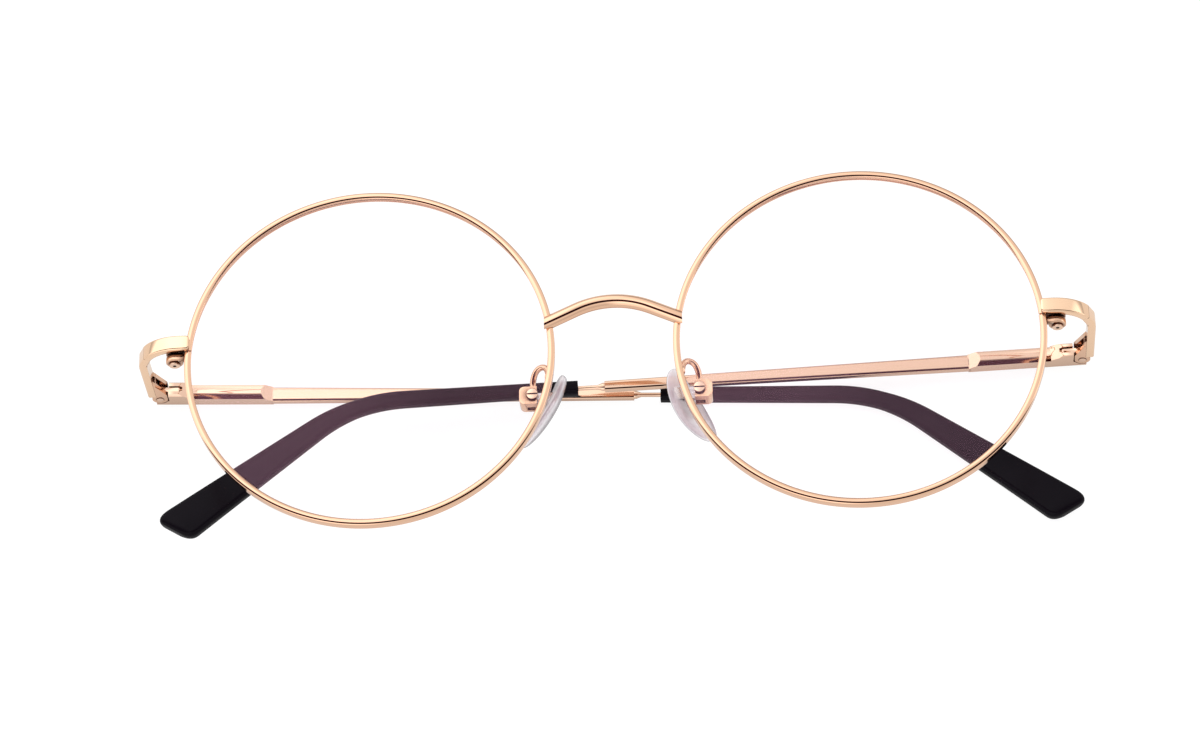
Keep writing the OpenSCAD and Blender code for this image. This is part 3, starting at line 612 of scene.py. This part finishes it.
def arc(centre_x, centre_y, radius, start, end, steps):
    """Points on an arc between two angles in degrees."""
    angles = [math.radians(start + (end - start) * i / steps) for i in range(steps + 1)]
    return [(centre_x + radius * math.cos(a), centre_y + radius * math.sin(a)) for a in angles]


def domed_face(half, flat_half, corner_r, angle):
    """Points across a face from -half to half, 0 at the top: a flat, two arcs down and two tight corners."""
    lean = math.radians(angle)
    dome_r = (half - flat_half - corner_r * (1 - math.sin(lean))) / math.sin(lean)
    corner_x = flat_half + (dome_r - corner_r) * math.sin(lean)
    corner_y = (dome_r - corner_r) * math.cos(lean) - dome_r
    right = arc(flat_half, -dome_r, dome_r, 90, 90 - angle, DOME_STEPS)[:-1]
    right += arc(corner_x, corner_y, corner_r, 90 - angle, 0, CORNER_STEPS)
    left = [(-x, y) for x, y in reversed(right)]
    return (left if flat_half else left[:-1]) + right


def rim_section():
    """Distance from the lens's middle and height over the front face, round the wire."""
    middle_r = (RIM_IN_R + RIM_OUT_R) / 2
    face = domed_face((RIM_OUT_R - RIM_IN_R) / 2, 0.0, DOME_CORNER_R, DOME_ANGLE)
    front = [(middle_r + x, y) for x, y in face]
    back = [(max(middle_r + x, RIM_IN_R + BACK_SETBACK), -RIM_DEPTH - y) for x, y in reversed(face)]
    middle = -RIM_DEPTH / 2
    groove = [(RIM_IN_R + GROOVE_DEPTH, middle), (RIM_IN_R, middle + GROOVE_HALF)]
    return front + back + groove


print("section of a rim has", len(rim_section()), "points")

# %% [markdown]
# The line of the wire is a circle round the middle of its lens. It is open at the lock, where a screw draws
# the two ends together on the lens, so the ring starts on one side of that thin split and ends on the other.

# %% Rims
LENS_X = 33.5
LOCK_Y = 1.97
RIM_SPLIT = 0.24
RIM_STEPS = 240


def rim_wire(side_name):
    section = rim_section()
    lock_angle = math.asin(LOCK_Y / RIM_OUT_R)
    half_gap = RIM_SPLIT / 2 / RIM_OUT_R
    rings = []
    for i in range(RIM_STEPS + 1):
        a = lock_angle + half_gap + (2 * math.pi - 2 * half_gap) * i / RIM_STEPS
        rings.append([on_front(side_name, LENS_X + r * math.cos(a), r * math.sin(a), z) for r, z in section])
    skin("rim_wire_" + side_name, rings, "gold", "front", "rim_" + side_name)


for side_name in SIDES:
    rim_wire(side_name)

# %% [markdown]
# An endpiece is a flat strip that laps on the front of the rim and rolls back to the hinge. Its line is laid
# on the outer face: a flat start with round corners, a bend with a small flat ground across it behind a fine
# scored line, and a straight leg to the hinge.

# %% Line of an endpiece
END_PROUD = 0.7
END_START_X = 58.23
END_X = 65.85
END_BEND_R = 6.0
END_FINISH_Z = -13.7
END_CORNER = 0.45
CORNER_TURN = 15
START_FLAT = 1.0
BEND_TURN = 2
FLAT_FROM = 34
FLAT_TO = 14
NOTCH_TURN = 0.5
NOTCH_DEPTH = 0.12
LEG_STEPS = 4
FOOT_L = 0.6
FOOT_STEP = 0.15


def end_line():
    """Places on the strip's outer face: x, z, the turn of its normal, and the depth of the score."""
    bend_x, bend_z = END_X - END_BEND_R, END_PROUD - END_BEND_R
    corner_turns = [math.radians(turn) for turn in range(0, 90, CORNER_TURN)]
    corner = [END_START_X + END_CORNER * (1 - math.cos(turn)) for turn in corner_turns]
    line = [(x, END_PROUD, 0.0, 0.0) for x in corner + [END_START_X + START_FLAT]]
    flat_mid = (FLAT_FROM + FLAT_TO) / 2
    flat_r = END_BEND_R * math.cos(math.radians((FLAT_FROM - FLAT_TO) / 2))
    for degrees in range(90, -1, -BEND_TURN):
        on_flat = FLAT_TO <= degrees <= FLAT_FROM
        r = flat_r / math.cos(math.radians(degrees - flat_mid)) if on_flat else END_BEND_R
        turned = 90 - (flat_mid if on_flat else degrees)
        notch = [(0, 0)]
        if degrees == FLAT_FROM:
            notch = [(NOTCH_TURN, 0.0), (0.0, NOTCH_DEPTH), (-NOTCH_TURN, 0.0)]
        for more, deep in notch:
            a = math.radians(degrees + more)
            line.append((bend_x + r * math.cos(a), bend_z + r * math.sin(a), turned, deep))
    leg = END_FINISH_Z + FOOT_L - bend_z
    line += [(END_X, bend_z + leg * i / LEG_STEPS, 90.0, 0.0) for i in range(1, LEG_STEPS + 1)]
    return line + [(END_X, END_FINISH_Z + FOOT_STEP * i, 90.0, 0.0) for i in (3, 2, 1, 0)]


print("line of an endpiece has", len(end_line()), "places")

# %% [markdown]
# Across that line stands a rounded oblong, because the strip is polished with soft edges all round. Only
# along the hinge its inner edges stay sharp, since the hinge is brazed there. The inner face is hollowed
# where the middle knuckle turns: points that would lie inside the knuckle's circle move out onto it.

# %% Endpieces
END_Y = 2.97
END_H = 2.2
END_T = 1.15
END_ROUND = 0.3
END_CREASE = 0.04
CREASE_FROM = 80
END_ROUND_STEPS = 4
END_SIDE_STEPS = 10
HINGE_X = 64.25
HINGE_Z = -14.4
RELIEF_R = 1.17
RELIEF_HALF = 0.45


def end_section(half_h, inner_r):
    """Points up and inwards from the outer face of a rounded oblong."""
    r, k, steps = END_ROUND, inner_r, END_ROUND_STEPS
    outline = arc(half_h - r, r, r, -90, 0, steps) + arc(half_h - k, END_T - k, k, 0, 90, steps)
    outline += [((half_h - k) * (1 - 2 * i / END_SIDE_STEPS), END_T) for i in range(1, END_SIDE_STEPS)]
    return outline + arc(k - half_h, END_T - k, k, 90, 180, steps) + arc(r - half_h, r, r, 180, 270, steps)


def endpiece(side_name):
    rings = []
    for x, z, turned, score in end_line():
        inset = END_CORNER - min(x - END_START_X, END_CORNER)
        half_h = END_H / 2 - END_CORNER + math.sqrt(END_CORNER ** 2 - inset ** 2)
        a = math.radians(turned)
        ring = []
        for up, deep in end_section(half_h, END_ROUND if turned < CREASE_FROM else END_CREASE):
            if deep < END_T / 2:
                deep += score
            point_x, point_z = x - deep * math.sin(a), z - deep * math.cos(a)
            near = RELIEF_R ** 2 - (point_z - HINGE_Z) ** 2
            if abs(up) <= RELIEF_HALF and near > 0:
                point_x = max(point_x, HINGE_X + math.sqrt(near))
            ring.append(on_front(side_name, point_x, END_Y + up, point_z))
        rings.append(ring)
    strip = skin("end_strip_" + side_name, rings, "gold", "front", "endpiece_" + side_name)
    strip.data.materials[0] = end_gold_painted_shade


for side_name in SIDES:
    endpiece(side_name)

# %% [markdown]
# A temple has its own axes: along the temple from its hinge, up across it, and away from the lenses. The
# hinge joint gives the place and the slide joint gives the direction, so both folded temples work the same
# way although one lies at a small angle to the front.

# %% Axes of a temple
STRIP_MIDDLE = 1.05 * MM


def temple_axes(side_name):
    """The hinge's place, then the temple's directions along, up and away from the lenses."""
    start = Vector(joints["fold_" + side_name]["pos_m"])
    along = Vector(joints["flex_" + side_name]["axis"]).normalized()
    up = (Vector((0, 1, 0)) - along * along.y).normalized()
    away = along.cross(up) * SIDES[side_name]
    return start, along, up, away


def on_temple(axes, s, w, t):
    """A place in mm along, up and away, from the middle of the strip's thickness."""
    start, along, up, away = axes
    return start + (along * s + up * w + away * t) * MM + away * STRIP_MIDDLE


for side_name in SIDES:
    print("temple", side_name, "lies along", [round(part, 3) for part in temple_axes(side_name)[1]])

# %% [markdown]
# Past the spring housing, the temple is a strip that tapers to a thin core wire. Its faces are flat in the
# middle and fall away towards the edges, which draws a dark line along each. The core wire is round, and it
# leaves the strip through a small oval shoulder.

# %% Sections of a temple
STRIP_T = 1.1
FACE_FALL = 0.56
FALL_LIMIT = 0.6
FACE_LEAN = 30
STRIP_CORNER_R = 0.1
CORE_SIDES = 24


def strip_section(half):
    """Points up and away across the strip, with both faces domed at their edges."""
    fall = min(FACE_FALL, half * FALL_LIMIT)
    face = domed_face(half, half - fall, STRIP_CORNER_R, FACE_LEAN)
    near = [(x, -STRIP_T / 2 - y) for x, y in face]
    far = [(x, STRIP_T / 2 + y) for x, y in reversed(face)]
    return near + far


def oval_section(half_w, half_t):
    """Points up and away round an oval."""
    angles = [2 * math.pi * (i + 0.5) / CORE_SIDES for i in range(CORE_SIDES)]
    return [(-half_w * math.cos(a), -half_t * math.sin(a)) for a in angles]


print("section of a temple strip has", len(strip_section(1)), "points and the core wire's", CORE_SIDES)

# %% [markdown]
# The strip is as wide as the housing at first and narrows evenly to its end. Strip and core wire are one
# piece of metal on the real object. Here they are two skins, because their sections have different points,
# and the wire starts a little inside the strip.

# %% Temple strips
STRIP_FROM = 15.5
BOX_END = 15.7
STRIP_L = 66.3
STRIP_HALF = 1.1
STRIP_END_HALF = 0.7
STRIP_STEPS = 6
NECK_L = 1.0
CORE_R = 0.32
CORE_END = 71.0
CORE_OVALS = [
    # distance along, half width and half thickness
    (STRIP_L - 0.4, 0.5, 0.42), (STRIP_L, 0.62, 0.5), (STRIP_L + 0.35, 0.58, 0.47),
    (STRIP_L + 0.7, 0.42, 0.38), (STRIP_L + NECK_L, CORE_R, CORE_R), (CORE_END, CORE_R, CORE_R)]


def temple_strip(side_name):
    axes = temple_axes(side_name)
    places = [(STRIP_FROM, STRIP_HALF)]
    for i in range(STRIP_STEPS + 1):
        places.append((BOX_END + (STRIP_L - BOX_END) * i / STRIP_STEPS,
                       STRIP_HALF + (STRIP_END_HALF - STRIP_HALF) * i / STRIP_STEPS))
    rings = [[on_temple(axes, s, w, t) for w, t in strip_section(half)] for s, half in places]
    skin("temple_strip_" + side_name, rings, "temple_gold", "temple_" + side_name, "temple_" + side_name)
    rings = [[on_temple(axes, s, w, t) for w, t in oval_section(*halves)] for s, *halves in CORE_OVALS]
    skin("temple_core_" + side_name, rings, "temple_gold", "temple_" + side_name, "temple_" + side_name)


for side_name in SIDES:
    temple_strip(side_name)

# %% [markdown]
# The short part of the temple under the housing holds the slot and the spring's chamber. A skin can't have
# those, so it is a copy of the frame's own mesh, cut off square where the strip begins.

# %% Temple blocks
BLOCK_TO = 15.8
BLOCK_BEVEL = 0.14


def temple_block(side_name):
    """A copy of the temple's mesh, cut off square behind the spring housing."""
    start, along = temple_axes(side_name)[:2]
    work = bmesh.new()
    work.from_mesh(nodes["temple_" + side_name].data)
    bmesh.ops.remove_doubles(work, verts=work.verts, dist=WELD_REACH)
    geometry = work.verts[:] + work.edges[:] + work.faces[:]
    cut = bmesh.ops.bisect_plane(work, geom=geometry, plane_co=start + along * BLOCK_TO * MM, plane_no=along,
                                 clear_outer=True)
    cut_edges = [part for part in cut["geom_cut"] if isinstance(part, bmesh.types.BMEdge)]
    bmesh.ops.holes_fill(work, edges=cut_edges)
    bmesh.ops.recalc_face_normals(work, faces=work.faces)
    mesh = bpy.data.meshes.new("temple block")
    work.to_mesh(mesh)
    work.free()
    mesh.materials.append(materials["temple_gold"])
    block = bpy.data.objects.new("temple_block_" + side_name, mesh)
    bpy.context.scene.collection.objects.link(block)
    soften(block, BLOCK_BEVEL)
    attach(block, "temple_" + side_name)
    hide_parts("temple_" + side_name)
    print(block.name, "has", len(mesh.polygons), "faces before its edges are rounded")


for side_name in SIDES:
    temple_block(side_name)

# %% [markdown]
# An ear sleeve runs straight from the bare core wire, bends down behind the ear and swells to a blunt tip
# that is cut at a slant. It could be a curve with a bevel, but its section changes on the way, so it is a
# skin. Its line comes first: an arc between two straights, with more places in the bend and over the tip.

# %% Line of an ear sleeve
SLEEVE_START = 70.0
BEND_AT = 101.0
BEND_ANGLE = math.radians(34.6)
BEND_R = 22.0
DROP_L = 31.2
CAP_L = 2.2
STRAIGHT_STEPS, BEND_STEPS, DROP_STEPS, CAP_STEPS = 8, 16, 14, 10

bend_tangent = BEND_R * math.tan(BEND_ANGLE / 2)
bend_len = BEND_R * BEND_ANGLE
arc_start = BEND_AT - bend_tangent
tip_s = arc_start + bend_len - bend_tangent + DROP_L


def centre_line(s):
    """Place along and up, and the turn downwards, at a distance s from the hinge."""
    if s <= arc_start:
        return s, 0.0, 0.0
    if s <= arc_start + bend_len:
        turned = (s - arc_start) / BEND_R
        return arc_start + BEND_R * math.sin(turned), -BEND_R * (1 - math.cos(turned)), turned
    rest = s - arc_start - bend_len + bend_tangent
    return BEND_AT + rest * math.cos(BEND_ANGLE), -rest * math.sin(BEND_ANGLE), BEND_ANGLE


def sleeve_places():
    """Distances along the sleeve, close together in the bend and over the tip."""
    cap_start = tip_s - CAP_L
    drop_start = arc_start + bend_len
    straight = [SLEEVE_START + (arc_start - SLEEVE_START) * i / STRAIGHT_STEPS for i in range(STRAIGHT_STEPS)]
    bend = [arc_start + bend_len * i / BEND_STEPS for i in range(BEND_STEPS)]
    drop = [drop_start + (cap_start - drop_start) * i / DROP_STEPS for i in range(DROP_STEPS)]
    cap = [cap_start + CAP_L * math.sin(math.pi / 2 * i / CAP_STEPS) for i in range(CAP_STEPS + 1)]
    return straight + bend + drop + cap


print("line of an ear sleeve ends", round(tip_s, 1), "mm from the hinge")

# %% [markdown]
# Across the line stands a rounded rectangle that grows slowly to the bend and faster after it, closes in
# over the tip, and leans there, which gives the slanted end.

# %% Ear sleeves
SLEEVE_H = 2.0
SLEEVE_BEND_H = 2.4
SLEEVE_TIP_H = 5.6
SLEEVE_T = 2.0
CORNER_R = 0.7
TIP_ROUND = 0.5
TIP_SLANT = 0.4
SLANT_L = 9.0
LEAST_FLAT = 0.01
SLEEVE_CORNER_STEPS = 6


def sleeve_section(s):
    """Points up and out of a rounded rectangle, which closes in over the tip."""
    if s < BEND_AT:
        height = SLEEVE_H + (SLEEVE_BEND_H - SLEEVE_H) * (s - SLEEVE_START) / (BEND_AT - SLEEVE_START)
    else:
        height = SLEEVE_BEND_H + (SLEEVE_TIP_H - SLEEVE_BEND_H) * (s - BEND_AT) / (tip_s - BEND_AT)
    over = min(max(0.0, (s - tip_s + CAP_L) / CAP_L), 1.0)
    closing = 1 - TIP_ROUND * (1 - math.sqrt(max(0.0, 1 - over ** 3)))
    w, t = height / 2 * closing, SLEEVE_T / 2 * closing
    r = min(CORNER_R, w - LEAST_FLAT, t - LEAST_FLAT)
    points = []
    for quarter, (sign_w, sign_t) in enumerate(((1, 1), (-1, 1), (-1, -1), (1, -1))):
        for step in range(SLEEVE_CORNER_STEPS + 1):
            a = math.pi / 2 * (quarter + step / SLEEVE_CORNER_STEPS)
            points.append((sign_w * (w - r) + r * math.cos(a), sign_t * (t - r) + r * math.sin(a)))
    return points


def ear_sleeve(side_name):
    axes = temple_axes(side_name)
    rings = []
    for s in sleeve_places():
        x, y, turned = centre_line(s)
        lean = TIP_SLANT * max(0.0, (s - tip_s + SLANT_L) / SLANT_L) ** 2
        ring = []
        for w, t in sleeve_section(s):
            a = x + w * (math.sin(turned) + lean * math.cos(turned))
            b = y + w * (math.cos(turned) - lean * math.sin(turned))
            ring.append(on_temple(axes, a, b, t))
        rings.append(ring)
    skin("sleeve_" + side_name, rings, "sleeve", "temple_" + side_name, "ear_sleeve_" + side_name)


for side_name in SIDES:
    ear_sleeve(side_name)

# %% [markdown]
# The pad arms are soft wire, bent by hand pliers: back from the rim, up, over in a loop and down into the
# bracket. A smooth spline through the same few bends gives the wire's line, and a circle goes along it.

# %% Pad arms
ARM_R = 0.43
ARM_KNOTS = [
    (9.15, -3.6, -1.4), (9.15, -3.6, -2.0), (9.15, -2.9, -2.6), (9.3, -2, -2.9), (9.7, -1.4, -3.2),
    (10.3, -1.3, -3.5), (10.9, -1.7, -3.8), (11.3, -2.6, -4.2), (11.4, -3.6, -4.5), (11.4, -4.4, -4.6)]
ARM_ACROSS = Vector((1, 0.2, 0))
ARM_STEPS = 6
ARM_SIDES = 16


def spline_points(knots, steps):
    """Points on a smooth line that passes through every knot."""
    knots = [Vector(knot) for knot in knots]
    padded = [knots[0] * 2 - knots[1]] + knots + [knots[-1] * 2 - knots[-2]]
    points = []
    for i in range(len(knots) - 1):
        a, b, c, d = padded[i:i + 4]
        for step in range(steps):
            u = step / steps
            points.append(0.5 * (2 * b + (c - a) * u + (2 * a - 5 * b + 4 * c - d) * u ** 2
                                 + (3 * b - a - 3 * c + d) * u ** 3))
    return points + [knots[-1]]


def pad_arm(side_name):
    line = [on_front(side_name, *point) for point in spline_points(ARM_KNOTS, ARM_STEPS)]
    rings = []
    across = ARM_ACROSS.normalized()
    for i, point in enumerate(line):
        tangent = (line[min(i + 1, len(line) - 1)] - line[max(i - 1, 0)]).normalized()
        across = (across - tangent * across.dot(tangent)).normalized()
        other = tangent.cross(across)
        angles = [2 * math.pi * j / ARM_SIDES for j in range(ARM_SIDES)]
        rings.append([point + (across * math.cos(a) + other * math.sin(a)) * ARM_R * MM for a in angles])
    skin("arm_" + side_name, rings, "gold", "front", "pad_arm_" + side_name)


for side_name in SIDES:
    pad_arm(side_name)

# %% [markdown]
# A nose pad is a soft drop of silicone, a little wider below, with a domed face to the nose and a flatter
# back, and its two ends bend away from the nose. Its two sides differ on real glasses, because a wearer's
# nose bends the arms, so each has its own spread and turn.

# %% Nose pads
PAD_CENTRE = Vector((9.8, -6.8, -6.4))
PAD_L = 12.0
PAD_W = 6.8
PAD_T = 1.9
PAD_TIP = 0.02
PAD_TAPER = 0.16
PAD_DOME = 1.15
PAD_BACK = 0.85
PAD_ARCH = 0.6
PAD_SPREAD = {"left": math.radians(24), "right": math.radians(30)}
PAD_TURN = {"left": math.radians(40), "right": math.radians(17)}
PAD_RINGS = 40
PAD_SIDES = 48


def nose_pad(side_name):
    tilt = Matrix.Rotation(PAD_SPREAD[side_name], 3, "Z") @ Matrix.Rotation(-PAD_TURN[side_name], 3, "Y")
    rings = []
    for i in range(PAD_RINGS + 1):
        a = math.pi * (PAD_TIP + (1 - 2 * PAD_TIP) * i / PAD_RINGS)
        y = -PAD_L / 2 * math.cos(a)
        w = PAD_W / 2 * math.sin(a) * (1 - PAD_TAPER * y / (PAD_L / 2))
        t = PAD_T / 2 * math.sqrt(math.sin(a))
        arch = PAD_ARCH * (y / (PAD_L / 2)) ** 2
        ring = []
        for j in range(PAD_SIDES):
            b = 2 * math.pi * j / PAD_SIDES
            depth = PAD_DOME if math.cos(b) < 0 else PAD_BACK
            point = PAD_CENTRE + tilt @ Vector((depth * t * math.cos(b) + arch, y, w * math.sin(b)))
            ring.append(on_front(side_name, *point))
        rings.append(ring)
    skin("pad_" + side_name, rings, "pad", "pad_" + side_name, "nose_pad_" + side_name)


for side_name in SIDES:
    nose_pad(side_name)

# %% [markdown]
# The dressed object has to keep the frame's size.

# %% [markdown]
# Each new piece now rides on its body, takes the place of its node and has a slot.
